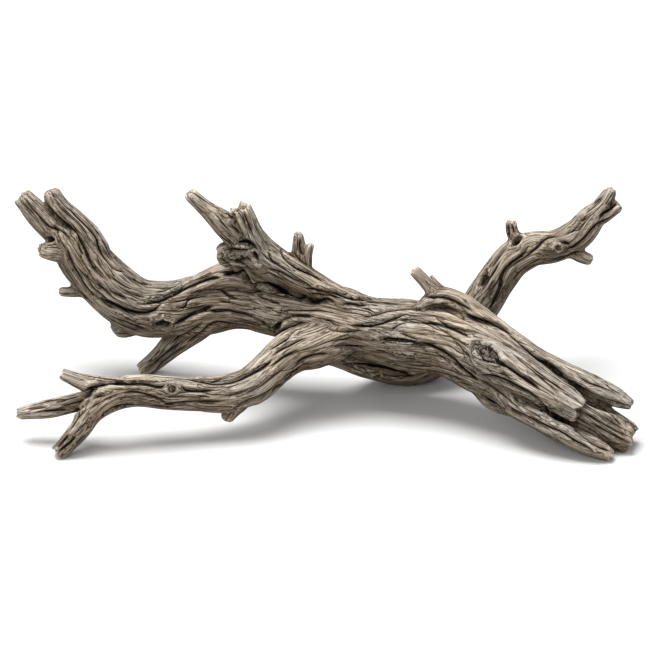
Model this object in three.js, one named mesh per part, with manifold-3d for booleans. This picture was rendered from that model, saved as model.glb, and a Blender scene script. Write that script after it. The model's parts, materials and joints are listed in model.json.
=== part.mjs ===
// A piece of weathered driftwood, about 620 mm long: one stout trunk that splits into planks at its right end,
// two long limbs to the left, a forked antler on top and a limb that loops under the trunk and rises behind it.
// It stands on four worn feet: the split end, the tips of the front branch and rear stub, and the loop's belly.
// Millimetres, +X to the right, +Y to the back, +Z up. The origin is under the middle of the piece, on the ground.
import * as THREE from "three";
import { mergeVertices } from "three/addons/utils/BufferGeometryUtils.js";
import Module from "manifold-3d";

const wasm = await Module();
wasm.setup();

// The piece is laid out on a full-size square drawing of what an eye in front of it and a little above it sees.
// A place on the drawing is its distance across from the left edge and down from the top edge. Back is how far
// a place lies behind the front feet, so the three together fix it in space.
const SHEET = 650;
const EYE_DISTANCE = 2437.5;
const EYE_TILT = THREE.MathUtils.degToRad(25);
const FRONT_FEET = -107;
const AIM = new THREE.Vector3(0.7, FRONT_FEET + 56, 120.5);
const SIGHT_BACK = new THREE.Vector3(0, -Math.cos(EYE_TILT), Math.sin(EYE_TILT));
const SIGHT_UP = new THREE.Vector3(0, Math.sin(EYE_TILT), Math.cos(EYE_TILT));
const EYE = AIM.clone().addScaledVector(SIGHT_BACK, EYE_DISTANCE);
const REAR_EYE = AIM.clone().addScaledVector(SIGHT_BACK, -EYE_DISTANCE);

// Facets: the width of a side round a limb, and the length of a step along it.
const FACET_WIDTH = 10.6;
const FACET_LENGTH = 20;
const FEWEST_SIDES = 6;

const COLOUR = 0x8a8073;
const GROUND_CUT = 400;

// Each row of a route is [across, down, back, half width, half depth]. Width is seen on the drawing, depth is not.
// Ridges are how many flutes run round a limb. A broken end is ragged and hollow, and a worn one is round.
const LIMBS = {
  trunk: {
    ridges: 8, end: "broken",
    route: [
      [56, 220, 197, 13, 16], [68, 236, 196, 21, 24], [85, 260, 194, 27, 28], [108, 286, 190, 29, 30],
      [138, 306, 186, 30, 31], [172, 309, 179, 30, 31], [203, 305, 170, 33, 31], [240, 303, 158, 27, 31],
      [275, 311, 147, 25, 32], [305, 317, 138, 30, 35], [335, 322, 129, 37, 39], [370, 329, 126, 33, 42],
      [410, 335, 118, 36, 42], [450, 343, 102, 37, 40], [490, 359, 80, 38, 38], [530, 383, 56, 35, 36],
      [562, 401, 38, 28, 32], [592, 418, 26, 21, 28], [611, 430, 20, 18.5, 24], [629, 439, 16, 16, 20],
    ],
  },
  outer_finger: {
    ridges: 5, end: "worn",
    route: [[84, 262, 193, 14, 18], [53, 229, 196, 14.5, 16], [36, 212, 198, 13.5, 14], [23, 196, 199, 11.5, 11.5]],
  },
  inner_finger: {
    ridges: 5, end: "worn",
    route: [[104, 262, 192, 14, 16], [87, 237, 194, 15, 15], [71, 219, 196, 13, 14], [58, 205, 198, 11, 12], [49, 191, 199, 9, 9]],
  },
  swelling: { ridges: 5, end: "worn", route: [[148, 316, 188, 15, 17], [126, 323, 188, 15, 15], [111, 325, 188, 12, 12]] },
  knob: { ridges: 5, end: "broken", route: [[74, 250, 190, 15, 15], [56, 249, 182, 12.5, 12], [41, 247, 177, 9, 9]] },
  thorn: { ridges: 5, end: "worn", route: [[92, 283, 187, 10, 10], [74, 289, 184, 8, 8], [59, 291, 183, 6, 6]] },
  rear_foot: {
    ridges: 6, end: "broken",
    route: [[214, 308, 168, 16, 22], [189, 330, 176, 15, 18], [167, 350, 185, 12.5, 14], [143, 370, 194, 9.5, 11]],
  },
  antler: {
    ridges: 6, end: "worn",
    route: [
      [362, 312, 124, 14, 22], [330, 299, 126, 17, 24], [302, 284, 128, 19, 24], [272, 267, 132, 22, 24],
      [247, 243, 134, 21, 20], [236, 222, 136, 16, 14],
    ],
  },
  antler_root: {
    ridges: 5, end: "worn",
    route: [[302, 306, 140, 9, 14], [270, 294, 141, 13, 20], [245, 272, 139, 19, 20], [234, 246, 134, 16, 14]],
  },
  antler_heel: { ridges: 5, end: "worn", route: [[262, 282, 146, 12, 18], [234, 274, 150, 14, 18], [208, 281, 158, 12, 16], [180, 293, 168, 8, 12]] },
  antler_long_finger: {
    ridges: 5, end: "worn",
    route: [[243, 240, 132, 16, 15], [221, 221, 132, 13, 13], [204, 207, 131, 8.5, 9], [187, 192, 130, 7.5, 7.5]],
  },
  antler_broken_finger: { ridges: 6, end: "broken", route: [[261, 252, 128, 13, 14], [251, 232, 127, 11.5, 13], [241, 208, 126, 10.5, 10.5]] },
  antler_spur: { ridges: 5, end: "worn", route: [[304, 288, 130, 14, 12], [300, 258, 132, 9.5, 10], [298, 231, 133, 4.5, 5]] },
  antler_spur_twin: { ridges: 5, end: "worn", route: [[308, 268, 128, 5, 6], [308, 255, 127, 4.5, 5], [311, 243, 126, 3.8, 4.2]] },
  front_branch: {
    ridges: 6, end: "broken",
    route: [
      [404, 326, 142, 8, 16], [370, 326, 127, 17, 24], [342, 334, 112, 22.5, 27], [318, 344, 101, 24, 26.5], [294, 352, 91, 22.5, 25],
      [272, 368, 74, 20.5, 23], [249, 386, 58, 19.5, 20], [222, 394, 48, 18.5, 18], [198, 394, 43, 17.5, 17], [170, 393, 38, 17.5, 17],
      [135, 390, 32, 17, 16.5], [110, 396, 26, 16, 15.5], [92, 411, 19, 12, 13.5], [80, 431, 11, 10.5, 12],
      [60, 452, 3, 8.5, 9],
    ],
  },
  front_branch_horn: {
    ridges: 5, end: "broken",
    route: [[124, 388, 27, 11, 12], [98, 386, 26, 11, 11], [80, 381, 27, 7.5, 8], [61, 374, 28, 5, 5.5]],
  },
  front_branch_twig: {
    ridges: 5, end: "broken",
    route: [[106, 394, 32, 9, 10], [82, 400, 34, 9.5, 10], [52, 408, 36, 9, 9], [34, 411.5, 37, 7, 7.5], [18, 414, 38, 5, 5]],
  },
  front_branch_nub: { ridges: 5, end: "worn", route: [[246, 397, 54, 11, 12], [232, 410, 49, 9, 9], [225, 421, 45, 7, 7]] },
  trunk_crest: {
    ridges: 5, end: "worn",
    route: [[412, 304, 112, 6, 10], [436, 297, 112, 9, 14], [457, 299, 106, 10, 14], [478, 312, 94, 9, 14], [500, 327, 84, 8, 12]],
  },
  crest_peg: { ridges: 5, end: "broken", route: [[442, 301, 110, 9, 10], [428, 285, 112, 7, 7], [413, 269, 114, 6.3, 6]] },
  crest_twin_peg: { ridges: 5, end: "worn", route: [[444, 295, 114, 7, 8], [435, 286, 117, 5.5, 6], [429, 277, 118, 4.5, 5]] },
  trunk_keel: { ridges: 5, end: "worn", route: [[474, 386, 70, 6, 12], [493, 401, 60, 10, 16], [520, 410, 44, 9, 14]] },
  upper_plank: {
    ridges: 5, end: "broken",
    route: [
      [486, 325, 92, 10, 20], [518, 347, 76, 11, 22], [556, 368, 60, 10.5, 22], [592, 386, 44, 11.5, 20],
      [616, 398, 34, 10, 14], [631, 406, 28, 6, 9],
    ],
  },
  front_plank: {
    ridges: 5, end: "broken",
    route: [[470, 350, 66, 20, 20], [508, 368, 46, 21, 20], [545, 390, 27, 18, 17], [578, 411, 13, 13, 13]],
  },
  lower_plank: {
    ridges: 5, end: "worn",
    route: [
      [492, 384, 60, 8, 20], [514, 405, 42, 12, 24], [545, 422, 22, 12, 22], [580, 442, 6, 11, 18],
      [600, 450, 0, 9.5, 13], [612, 454, -3, 7, 9],
    ],
  },
  rear_limb: {
    ridges: 6, end: "broken",
    route: [
      [318, 345, 122, 18, 20], [345, 352, 132, 19, 22], [370, 360, 150, 20, 25], [398, 365, 167, 21, 28],
      [425, 361, 174, 22.5, 26], [448, 345, 178, 22, 24], [468, 322, 184, 20, 22], [483, 301, 188, 20.5, 21],
      [498, 279, 191, 20, 20], [513, 259, 195, 19.5, 19], [532, 249, 198, 18, 18], [556, 246, 202, 17, 17],
      [578, 234, 206, 17, 17], [593, 217, 210, 15, 15], [606, 205, 212, 9, 11],
    ],
  },
  rear_limb_upper_tip: { ridges: 5, end: "worn", route: [[594, 216, 210, 9, 10], [604, 201, 213, 8, 8.5], [612, 187, 215, 6.5, 6.5]] },
  rear_limb_lower_tip: { ridges: 5, end: "worn", route: [[596, 221, 208, 9, 10], [609, 211, 208, 8, 8], [620, 204, 208, 6.5, 6.5]] },
  rear_limb_peg: { ridges: 5, end: "broken", route: [[522, 246, 194, 10, 11], [513, 234, 193, 7.5, 8], [510, 224, 192, 6.5, 6.5]] },
  rear_limb_thorn: { ridges: 5, end: "worn", route: [[568, 247, 200, 10, 11], [582, 257, 200, 6.5, 7], [592, 261, 200, 5, 5]] },
  rear_limb_nub: { ridges: 5, end: "worn", route: [[554, 246, 190, 7, 7], [561, 249, 180, 5, 5]] },
};

// Splits follow the grain. Each row of a line is [across, down] on the drawing, and a split is half this wide and deep.
const SPLITS = [
  { name: "between the left limb's fingers", halfWidth: 3, depth: 13, line: [[42, 192], [50, 209], [60, 221], [72, 230], [82, 241], [90, 255], [97, 270]] },
  { name: "along the left limb", halfWidth: 2.6, depth: 8, line: [[84, 289], [98, 299], [112, 305], [130, 310], [148, 311], [160, 304], [174, 294], [190, 286], [208, 280], [226, 276]] },
  { name: "under the antler", halfWidth: 4.2, depth: 15, line: [[230, 274], [243, 276], [254, 285], [275, 289], [298, 296], [318, 299], [344, 302]] },
  { name: "between the antler's fingers", halfWidth: 2.4, depth: 11, line: [[227, 206], [236, 221], [247, 238]] },
  { name: "behind the antler's spur", halfWidth: 2.2, depth: 6, line: [[280, 250], [288, 261], [298, 268], [314, 277]] },
  { name: "under the upper plank", halfWidth: 3.6, depth: 22, line: [[516, 338], [538, 356], [556, 370], [572, 384], [590, 398], [612, 411], [638, 418]] },
  { name: "over the lower plank", halfWidth: 3.6, depth: 18, line: [[498, 379], [520, 391], [537, 404], [555, 419], [575, 431], [596, 442], [616, 452]] },
  { name: "into the trunk's rotten knot", halfWidth: 2, depth: 7, line: [[438, 318], [455, 327], [472, 338]] },
  { name: "along the trunk's crest", halfWidth: 2.2, depth: 8, line: [[422, 297], [445, 302], [466, 312], [488, 320], [510, 334]] },
  { name: "along the front branch", halfWidth: 1.8, depth: 5, line: [[92, 388], [118, 382], [145, 384], [164, 388]] },
  { name: "under the front branch", halfWidth: 1.8, depth: 5, line: [[152, 396], [165, 403], [200, 403], [235, 398]] },
  { name: "along the rear limb", halfWidth: 1.8, depth: 6, line: [[562, 253], [584, 244], [597, 227], [612, 210]] },
  { name: "up the rear limb", halfWidth: 1.8, depth: 5, line: [[490, 300], [504, 276], [518, 260], [534, 244], [552, 237]] },
];

// Hollows where a branch rotted out: [across, down, half length, half width, depth, tilt in degrees, collar].
// A collar is the thickness of the ring of wood that grew round the hollow.
const HOLLOWS = [
  [410, 337, 15, 6, 8, 8, 4],
  [486, 351, 14, 9, 12, 40, 4],
  [52, 239, 6, 4, 7, 20, 0],
  [166, 325, 9, 4.5, 9, -8, 3],
  [517, 241, 6.5, 4, 7, -38, 3],
  [482, 279, 9, 3.5, 7, -58, 0],
  [258, 257, 7, 5, 8, 30, 3],
];

// The same on the side that the drawing doesn't show, placed by an eye opposite the first one.
const REAR_HOLLOWS = [
  [430, 330, 12, 7, 10, 10, 4],
  [205, 305, 10, 6, 9, -15, 4],
];
const REAR_SPLITS = [
  { name: "along the trunk's back", halfWidth: 2.6, depth: 9, line: [[380, 318], [420, 312], [460, 322], [505, 346], [545, 372]] },
  { name: "along the left limb's back", halfWidth: 2.4, depth: 8, line: [[96, 262], [118, 290], [150, 306], [185, 296], [225, 292]] },
  { name: "along the front branch's back", halfWidth: 1.8, depth: 5, line: [[125, 394], [165, 390], [210, 396], [245, 386]] },
];

// A repeatable draw of numbers from 0 to 1.
function drawFrom(seed) {
  let state = seed;
  return () => {
    state = (state * 1664525 + 1013904223) % 4294967296;
    return state / 4294967296;
  };
}

// The point of space that the drawing shows at a place and that lies that far back.
function place(across, down, back) {
  const onSheet = AIM.clone().addScaledVector(SIGHT_UP, SHEET / 2 - down);
  onSheet.x += across - SHEET / 2;
  const sight = onSheet.sub(EYE);
  return EYE.clone().addScaledVector(sight, (FRONT_FEET + back - EYE.y) / sight.y);
}

// A cylinder bent along rings: each has a centre, a forward direction, two across it, a half width and a half depth.
// Reach scales the cylinder's skin at an angle and a length. The far end's rim is shifted and its middle is hollow.
function tube(rings, sides, reach, endShift, endHollow) {
  const cylinder = new THREE.CylinderGeometry(1, 1, 1, sides, rings.length - 1);
  const position = cylinder.attributes.position;
  const corner = new THREE.Vector3();
  for (let i = 0; i < position.count; i++) {
    corner.fromBufferAttribute(position, i);
    const row = Math.round((corner.y + 0.5) * (rings.length - 1));
    const { centre, forward, toward, across, halfWidth, halfDepth, along } = rings[row];
    const onRim = Math.hypot(corner.x, corner.z) > 0.5;
    const angle = Math.atan2(corner.x, corner.z);
    const size = onRim ? reach(angle, along) : 0;
    const point = centre.clone();
    point.addScaledVector(across, halfWidth * size * Math.sin(angle));
    point.addScaledVector(toward, halfDepth * size * Math.cos(angle));
    if (row === rings.length - 1) point.addScaledVector(forward, onRim ? endShift(angle) : -endHollow);
    position.setXYZ(i, ...point);
  }
  return cylinder;
}

// Rings along a curve at the given shares of its length, with their depth turned to the eye that sees them.
function ringsAlong(points, girths, shares, eye) {
  const curve = new THREE.CatmullRomCurve3(points, false, "centripetal");
  const girthCurve = new THREE.CatmullRomCurve3(girths, false, "catmullrom", 0.5);
  const length = curve.getLength();
  return shares.map((share) => {
    const centre = curve.getPointAt(share);
    const forward = curve.getTangentAt(share);
    const toward = eye.clone().sub(centre).normalize();
    toward.addScaledVector(forward, -toward.dot(forward)).normalize();
    const girth = girthCurve.getPoint(curve.getUtoTmapping(share));
    return {
      centre, forward, toward,
      across: forward.clone().cross(toward),
      halfWidth: girth.x, halfDepth: girth.y, along: share * length,
    };
  });
}

// A limb's surface is a bundle of strands: rounded flutes that twist slowly round it, over a few broad lobes.
function strands(ridges, draw) {
  const phase = [draw(), draw(), draw(), draw()].map((value) => value * 2 * Math.PI);
  const twist = (draw() - 0.5) * 0.006;
  return (angle, along) => {
    const turned = angle + twist * along + 0.12 * Math.sin(along / 31 + phase[3]);
    const lobes = 0.035 * Math.sin(2 * turned + phase[0]) + 0.03 * Math.sin(3 * turned + phase[1] + along / 90);
    const flutes = 0.15 * (Math.abs(Math.cos((ridges / 2) * turned + phase[2])) - 0.64);
    return 1 + lobes + flutes;
  };
}

function limb({ route, ridges, end }, draw) {
  const points = route.map(([across, down, back]) => place(across, down, back));
  const girths = route.map(([, , , halfWidth, halfDepth]) => new THREE.Vector3(halfWidth, halfDepth, 0));
  const length = new THREE.CatmullRomCurve3(points, false, "centripetal").getLength();
  const steps = Math.max(3, Math.round(length / FACET_LENGTH));
  const tip = route[route.length - 1][3] / length;
  const root = route[0][3] / length;
  const shares = Array.from({ length: steps }, (_, i) => i / steps).filter((s) => s > 1.1 * root && s < 1 - 1.1 * tip);
  const worn = end === "worn";
  shares.unshift(0, 0.45 * root);
  shares.push(...(worn ? [1 - 0.85 * tip, 1 - 0.35 * tip, 1] : [1 - 0.5 * tip, 1]));
  const rings = ringsAlong(points, girths, shares, EYE);
  const girth = Math.max(...girths.map(({ x, y }) => (x + y) / 2));
  const sides = Math.max(FEWEST_SIDES, Math.round((2 * Math.PI * girth) / FACET_WIDTH));
  const surface = strands(ridges, draw);
  const tipSize = route[route.length - 1][3];
  const phase = draw() * 2 * Math.PI;
  const ragged = (angle) => tipSize * (0.3 * Math.sin(3 * angle + phase) + 0.22 * Math.sin(7 * angle + 2 * phase));
  const dome = (distance, size) => (distance < size ? Math.sqrt(1 - 0.8 * (1 - distance / size) ** 2) : 1);
  const rounding = (share) => dome(share, root) * (worn ? dome(1 - share, tip) : 1);
  const reach = (angle, along) => surface(angle, along) * rounding(along / length);
  return tube(rings, sides, reach, worn ? () => 0 : ragged, worn ? -0.3 * tipSize : 0.55 * tipSize);
}

function solid(geometry) {
  const bare = new THREE.BufferGeometry().setAttribute("position", geometry.getAttribute("position"));
  if (geometry.index) bare.setIndex(geometry.index);
  const merged = mergeVertices(bare, 1e-4);
  return new wasm.Manifold(
    new wasm.Mesh({
      numProp: 3,
      vertProperties: merged.attributes.position.array,
      triVerts: new Uint32Array(merged.index.array),
    }),
  );
}

function meshOf(body, material) {
  const made = body.getMesh();
  const geometry = new THREE.BufferGeometry();
  geometry.setAttribute("position", new THREE.BufferAttribute(made.vertProperties, 3));
  geometry.setIndex(new THREE.BufferAttribute(made.triVerts, 1));
  return new THREE.Mesh(geometry, material);
}

// Finds where the sight line of an eye through a place on the drawing meets the wood. A miss takes the last hit.
function finder(body, eye) {
  const wood = meshOf(body, new THREE.MeshBasicMaterial({ side: THREE.DoubleSide }));
  const raycaster = new THREE.Raycaster();
  let last = null;
  return (across, down) => {
    const seen = AIM.clone().addScaledVector(SIGHT_UP, SHEET / 2 - down);
    seen.x += across - SHEET / 2;
    raycaster.set(eye, seen.sub(eye).normalize());
    const [hit] = raycaster.intersectObject(wood);
    last = hit ? { point: hit.point, normal: hit.face.normal } : last;
    return last;
  };
}

// A blade that cuts a split: widest in the middle, narrow at both ends, centred on the surface.
function blade({ line, halfWidth, depth }, find, eye) {
  const points = line.map(([across, down]) => find(across, down).point.clone());
  const swell = (i) => 0.35 + 0.65 * Math.sin((Math.PI * (i + 0.5)) / line.length);
  const girths = line.map((_, i) => new THREE.Vector3(halfWidth * swell(i), depth * swell(i), 0));
  const shares = Array.from({ length: line.length + 2 }, (_, i) => i / (line.length + 1));
  return tube(ringsAlong(points, girths, shares, eye), 4, () => 1, () => 0, 0);
}

// A hollow is an ellipsoid sunk in the surface, and its collar a ring of wood round the mouth.
function hollowAndCollar([across, down, halfLength, halfWidth, depth, tilt, collar], find, eye) {
  const { point } = find(across, down);
  const toward = eye.clone().sub(point).normalize();
  const right = new THREE.Vector3(1, 0, 0).applyAxisAngle(toward, THREE.MathUtils.degToRad(-tilt));
  const up = toward.clone().cross(right).normalize();
  const frame = new THREE.Matrix4().makeBasis(up.clone().cross(toward), up, toward);
  const hollow = new THREE.SphereGeometry(1, 8, 5);
  hollow.scale(halfLength, halfWidth, depth).applyMatrix4(frame).translate(...point);
  const ring = new THREE.TorusGeometry(1, 0.34, 4, 9);
  ring.scale(halfLength + 0.5 * collar, halfWidth + 0.5 * collar, collar * 2.2).applyMatrix4(frame);
  ring.translate(...point.clone().addScaledVector(toward, -0.2 * collar));
  return { hollow: solid(hollow), collar: collar > 0 ? solid(ring) : null };
}

const draw = drawFrom(41);
let wood = Object.values(LIMBS)
  .map((row) => solid(limb(row, draw)))
  .reduce((whole, piece) => whole.add(piece));

for (const [eye, hollows, splits] of [[EYE, HOLLOWS, SPLITS], [REAR_EYE, REAR_HOLLOWS, REAR_SPLITS]]) {
  const find = finder(wood, eye);
  const mouths = hollows.map((row) => hollowAndCollar(row, find, eye));
  const cuts = splits.map((row) => solid(blade(row, find, eye)));
  for (const { collar } of mouths) if (collar) wood = wood.add(collar);
  for (const { hollow } of mouths) wood = wood.subtract(hollow);
  for (const cut of cuts) wood = wood.subtract(cut);
}

// The feet are worn flat where the piece has stood.
const ground = new THREE.BoxGeometry(2 * SHEET, 2 * SHEET, GROUND_CUT).translate(0, 0, -GROUND_CUT / 2);
wood = wood.subtract(solid(ground));
const largest = wood.decompose().reduce((a, b) => (a.volume() > b.volume() ? a : b));

const weathered = new THREE.MeshStandardMaterial({ color: COLOUR, roughness: 0.92, metalness: 0 });
const driftwood = meshOf(largest, weathered);
driftwood.name = "driftwood";

const piece = new THREE.Group();
piece.add(driftwood);
export default piece;
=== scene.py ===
# A piece of weathered driftwood on a pale floor. Its limbs are laid out as in the part's source and joined
# in one skin. The skin is then worked with strands, furrows, cracks, knots and splintered ends.
import itertools
import json
import math

import bpy
import numpy as np
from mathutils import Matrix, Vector
from mathutils.bvhtree import BVHTree

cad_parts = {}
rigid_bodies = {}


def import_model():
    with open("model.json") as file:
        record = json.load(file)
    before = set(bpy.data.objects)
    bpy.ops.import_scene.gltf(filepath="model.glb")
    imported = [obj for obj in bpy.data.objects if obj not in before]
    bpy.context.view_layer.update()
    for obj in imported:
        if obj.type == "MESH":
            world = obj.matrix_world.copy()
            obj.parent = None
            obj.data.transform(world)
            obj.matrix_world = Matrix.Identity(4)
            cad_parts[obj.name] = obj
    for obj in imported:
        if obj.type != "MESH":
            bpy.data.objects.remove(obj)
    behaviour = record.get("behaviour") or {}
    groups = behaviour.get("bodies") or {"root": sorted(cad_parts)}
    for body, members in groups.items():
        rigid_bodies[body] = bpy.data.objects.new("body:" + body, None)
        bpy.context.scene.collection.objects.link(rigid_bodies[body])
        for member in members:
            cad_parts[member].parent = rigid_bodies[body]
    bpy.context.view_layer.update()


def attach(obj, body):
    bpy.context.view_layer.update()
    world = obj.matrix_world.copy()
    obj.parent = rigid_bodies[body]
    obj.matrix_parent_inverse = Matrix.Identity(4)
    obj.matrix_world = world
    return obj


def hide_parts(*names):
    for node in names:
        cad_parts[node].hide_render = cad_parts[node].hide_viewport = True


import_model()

# Lengths below are in mm, and metres are used in the meshes, the lights and the camera.
MM = 0.001

# The drawing sheet: 650 mm square, as an eye 2437.5 mm away and 25 degrees above level sees it.
SHEET = 650.0
EYE_DISTANCE = 2437.5
EYE_TILT = math.radians(25)
LENS = 135.0
SENSOR = 36.0
FRONT_FEET = -107.0
AIM = np.array([0.7, FRONT_FEET + 56, 120.5])
SIGHT_BACK = np.array([0.0, -math.cos(EYE_TILT), math.sin(EYE_TILT)])
SIGHT_UP = np.array([0.0, math.sin(EYE_TILT), math.cos(EYE_TILT)])
EYE = AIM + EYE_DISTANCE * SIGHT_BACK
REAR_EYE = AIM - EYE_DISTANCE * SIGHT_BACK

# The skin: its first fineness, its triangles when thinned out, and the step between rows along a limb
SKIN_VOXEL = 1.15
SKIN_TRIANGLES = 196000
ROW_STEP = 3.0

# A limb is felt this far from the box round it, and a point that no limb reaches counts as this far off
LIMB_REACH = 12
UNREACHED = 40.0

# The fillets where limbs meet: how near two limbs' surfaces lie in one, and how often it is smoothed
FILLET = 5
FILLET_ROUNDS = 24

# The share of a furrow's depth at which its bed runs, painted dark as shade, and a leap along it that ends
# on another limb
FURROW_BED = 0.8
FURROW_LEAP = 12

# Each limb has its own seeds and its own part of the grain's noise
LIMB_SEEDS = 13
GRAIN_APART = 31.0

# Lines are read by a step across the grain, and a point counts as at most this many widths from a line
LINE_STEP = 0.5
FAR_OFF = 9.0

# A limb's end is worn round or broken off blunt.
# Each row of its route is (across, down, back, half width, half depth) on the drawing, in mm.
LIMBS = {
    "trunk": ("broken", [
        (56, 220, 197, 13, 16), (68, 236, 196, 21, 24), (85, 260, 194, 27, 28), (108, 286, 190, 29, 30),
        (138, 306, 186, 30, 31), (172, 309, 179, 30, 31), (203, 305, 170, 33, 31),
        (240, 303, 158, 27, 31), (275, 311, 147, 25, 32), (305, 317, 138, 30, 35),
        (335, 322, 129, 37, 39), (370, 329, 126, 33, 42), (410, 335, 118, 36, 42),
        (450, 343, 102, 37, 40), (490, 359, 80, 38, 38), (530, 383, 58, 34, 35), (562, 401, 44, 26, 30),
        (592, 418, 33, 20.5, 25), (611, 430, 27, 18.5, 22), (630, 439, 22, 15.5, 18)]),
    "outer_finger": ("broken", [
        (84, 262, 193, 14, 18), (53, 229, 196, 14.5, 16), (36, 212, 198, 13, 14),
        (22, 197, 199, 10.5, 11)]),
    "inner_finger": ("worn", [
        (104, 262, 192, 14, 16), (87, 237, 194, 15, 15), (71, 219, 196, 13, 14),
        (58, 205, 198, 10.5, 12), (49, 190, 199, 9, 9)]),
    "swelling": ("worn", [(148, 316, 188, 15, 17), (126, 323, 188, 15, 15), (111, 325, 188, 12, 12)]),
    "knob": ("broken", [(74, 252, 190, 15, 15), (56, 251, 182, 12, 12), (40, 250, 177, 7.5, 8)]),
    "thorn": ("worn", [(94, 290, 187, 9, 10), (76, 292, 184, 6, 8), (59, 291.5, 183, 4.8, 5)]),
    "rear_foot": ("broken", [
        (222, 306, 168, 16, 22), (197, 325, 175, 17, 19), (176, 341, 183, 14.5, 16),
        (163, 354, 189, 11.5, 13), (144, 370, 194, 9.5, 11)]),
    "antler": ("worn", [
        (362, 306, 122, 10, 20), (330, 293, 124, 12, 22), (302, 278, 128, 15, 22),
        (272, 262, 132, 18, 22), (247, 242, 134, 20, 20), (236, 222, 136, 16, 14)]),
    "antler_root": ("worn", [
        (304, 298, 152, 10, 14), (278, 286, 152, 14, 18), (254, 268, 146, 15, 20),
        (240, 246, 137, 15, 14)]),
    "antler_burl": ("worn", [
        (268, 262, 136, 12, 14), (246, 256, 134, 16, 16), (228, 254, 133, 13.5, 13),
        (217, 255, 133, 11, 11)]),
    "antler_heel": ("worn", [
        (266, 290, 152, 8, 8), (234, 275, 150, 14, 18), (208, 281, 158, 12, 16), (180, 293, 168, 8, 12)]),
    "antler_long_finger": ("worn", [
        (243, 240, 132, 16, 15), (221, 221, 132, 12.5, 13), (204, 207, 131, 8.5, 9),
        (188, 192.5, 130, 7, 7)]),
    "antler_broken_finger": ("broken", [
        (261, 252, 128, 13, 14), (251, 232, 127, 11.5, 13), (241, 208, 126, 11, 10.5)]),
    "antler_spur": ("worn", [(304, 288, 130, 14, 12), (300, 258, 132, 9.5, 10), (298, 232, 133, 4.5, 5)]),
    "antler_spur_twin": ("worn", [
        (308, 268, 128, 5, 6), (308, 255, 127, 4.5, 5), (311, 243, 126, 3.6, 4.2)]),
    "front_branch": ("broken", [
        (404, 326, 142, 8, 16), (370, 326, 127, 17, 24), (342, 334, 112, 22.5, 27),
        (318, 344, 101, 24, 26.5), (294, 352, 91, 22.5, 25), (272, 368, 74, 20.5, 23),
        (249, 386, 58, 19.5, 20), (222, 394, 48, 18.5, 18), (198, 394, 43, 17.5, 17),
        (170, 393, 38, 17.5, 17), (135, 390, 32, 17, 16.5), (110, 396, 26, 16, 15.5),
        (92, 411, 19, 12.5, 13.5), (80, 429, 11, 11.5, 12), (58, 453, 3, 9, 9)]),
    "front_branch_horn": ("broken", [
        (124, 388, 27, 11, 12), (98, 386, 26, 11, 11), (80, 381, 27, 8, 8), (62, 374, 28, 5.6, 6)]),
    "front_branch_twig": ("broken", [
        (106, 394, 32, 9, 10), (82, 401, 34, 10, 10), (52, 408, 36, 10, 10), (34, 411, 37, 8.5, 8.5),
        (19, 414, 38, 6, 6)]),
    "front_branch_nub": ("worn", [
        (246, 397, 54, 11, 12), (232, 410, 49, 9, 9), (225.5, 421, 45, 6.4, 7)]),
    "trunk_crest": ("worn", [
        (416, 311, 104, 5, 6), (438, 297, 110, 10, 14), (457, 301, 106, 10, 14), (478, 313, 94, 9, 14),
        (502, 328, 84, 7, 12), (530, 346, 74, 4.5, 9)]),
    "crest_peg": ("broken", [(442, 301, 110, 9, 10), (428, 285, 112, 7, 7), (414, 270, 114, 6, 6)]),
    "crest_twin_peg": ("broken", [(444, 295, 114, 7, 8), (436, 286, 117, 5.5, 6), (430, 277, 118, 4, 5)]),
    "trunk_keel": ("worn", [(474, 386, 70, 6, 12), (493, 401, 60, 10, 16), (520, 410, 44, 9, 14)]),
    "upper_plank": ("broken", [
        (486, 325, 92, 10, 20), (518, 347, 76, 11, 22), (556, 367, 60, 9.5, 22), (592, 385, 44, 11, 20),
        (616, 397, 34, 9.5, 14), (631, 405, 28, 5.5, 9)]),
    "front_plank": ("broken", [
        (470, 350, 66, 20, 20), (508, 368, 46, 21, 20), (545, 389, 25, 17.5, 17),
        (579, 409.5, 8, 12, 13)]),
    "lower_plank": ("broken", [
        (492, 384, 60, 8, 20), (514, 405, 42, 12, 24), (545, 422, 22, 12, 22), (580, 442, 6, 11, 18),
        (600, 450, 0, 9, 13), (611, 456, -3, 6, 9)]),
    "rear_limb": ("broken", [
        (318, 345, 122, 18, 20), (345, 352, 132, 19, 22), (370, 360, 150, 20, 25),
        (398, 365, 167, 21, 28), (425, 361, 174, 22.5, 26), (448, 345, 178, 22, 24),
        (468, 322, 184, 20, 22), (483, 301, 188, 20.5, 21), (498, 279, 191, 20, 20),
        (513, 259, 195, 19.5, 19), (532, 249, 198, 18, 18), (556, 246, 202, 17, 17),
        (578, 234, 206, 16.5, 17), (593, 217, 210, 14.5, 15), (606, 205, 212, 9, 11)]),
    "rear_limb_upper_tip": ("worn", [
        (594, 215, 210, 9, 10), (605, 200, 213, 8.5, 9), (613, 188, 215, 6.2, 6.6)]),
    "rear_limb_lower_tip": ("worn", [
        (596, 221, 208, 9, 10), (610, 211, 208, 8.5, 8.5), (621, 204.5, 208, 6.5, 7)]),
    "rear_limb_peg": ("broken", [(522, 246, 203, 10, 9), (513, 234, 202, 7, 8), (511, 222, 201, 6, 6)]),
    "rear_limb_thorn": ("worn", [
        (566, 246, 200, 9, 11), (581, 256, 200, 7, 8), (592, 260.5, 200, 5.6, 6)]),
    "rear_limb_nub": ("worn", [(554, 246, 190, 7, 7), (561, 249, 180, 4.6, 5)]),
}

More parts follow.
